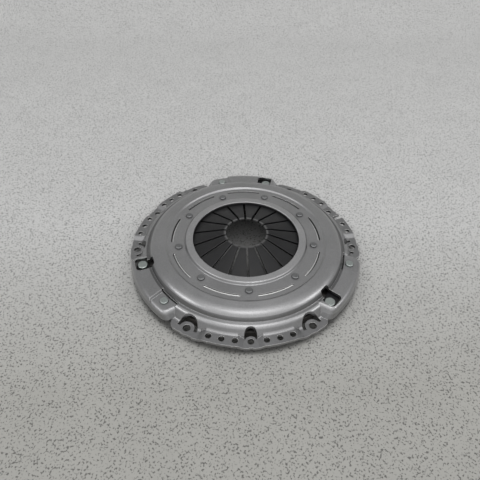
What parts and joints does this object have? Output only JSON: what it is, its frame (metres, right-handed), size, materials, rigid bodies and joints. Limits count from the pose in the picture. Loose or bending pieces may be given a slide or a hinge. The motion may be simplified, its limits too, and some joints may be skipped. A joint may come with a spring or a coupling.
{
  "type": "clutch pressure plate",
  "caption": "Clutch cover assembly: a pressed steel cover with a riveted diaphragm spring, and a cast pressure plate hung in it on leaf straps.",
  "frame": {"origin": "centre of the cover's mounting face, on the clutch axis", "axes": "+Z along the clutch axis, from the flywheel towards the release bearing; +X through a bolt hole"},
  "size_m": [0.2846, 0.2829, 0.0406],
  "materials": {
    "cover_sheet": "satin phosphated sheet",
    "spring_steel": "blackened, satin",
    "wire_steel": "drawn",
    "plate_iron": "cast, with a ground friction face",
    "fulcrum_rivet_steel": "satin",
    "strap_steel": "rolled spring steel",
    "strap_rivet_steel": "zinc plated"
  },
  "bodies": {
    "cover_assembly": {"cover": "cover_sheet", "diaphragm_spring": "spring_steel", "fulcrum_ring": "wire_steel", "fulcrum_rivet_1": "fulcrum_rivet_steel", "fulcrum_rivet_2": "fulcrum_rivet_steel", "fulcrum_rivet_3": "fulcrum_rivet_steel", "fulcrum_rivet_4": "fulcrum_rivet_steel", "fulcrum_rivet_5": "fulcrum_rivet_steel", "fulcrum_rivet_6": "fulcrum_rivet_steel", "fulcrum_rivet_7": "fulcrum_rivet_steel", "fulcrum_rivet_8": "fulcrum_rivet_steel", "fulcrum_rivet_9": "fulcrum_rivet_steel", "cover_strap_rivet_1": "strap_rivet_steel", "cover_strap_rivet_2": "strap_rivet_steel", "cover_strap_rivet_3": "strap_rivet_steel", "strap_1_leaf_1": "strap_steel", "strap_1_leaf_2": "strap_steel", "strap_1_leaf_3": "strap_steel", "strap_2_leaf_1": "strap_steel", "strap_2_leaf_2": "strap_steel", "strap_2_leaf_3": "strap_steel", "strap_3_leaf_1": "strap_steel", "strap_3_leaf_2": "strap_steel", "strap_3_leaf_3": "strap_steel"},
    "pressure_plate": {"pressure_plate": "plate_iron", "plate_strap_rivet_1": "strap_rivet_steel", "plate_strap_rivet_2": "strap_rivet_steel", "plate_strap_rivet_3": "strap_rivet_steel"}
  },
  "joints": [
    {"name": "plate_lift", "type": "slide", "parent": "cover_assembly", "child": "pressure_plate", "axis": [0, 0, 1], "range_m": [0, 0.002], "deforming": ["diaphragm_spring", "strap_1_leaf_1", "strap_1_leaf_2", "strap_1_leaf_3", "strap_2_leaf_1", "strap_2_leaf_2", "strap_2_leaf_3", "strap_3_leaf_1", "strap_3_leaf_2", "strap_3_leaf_3"]}
  ]
}
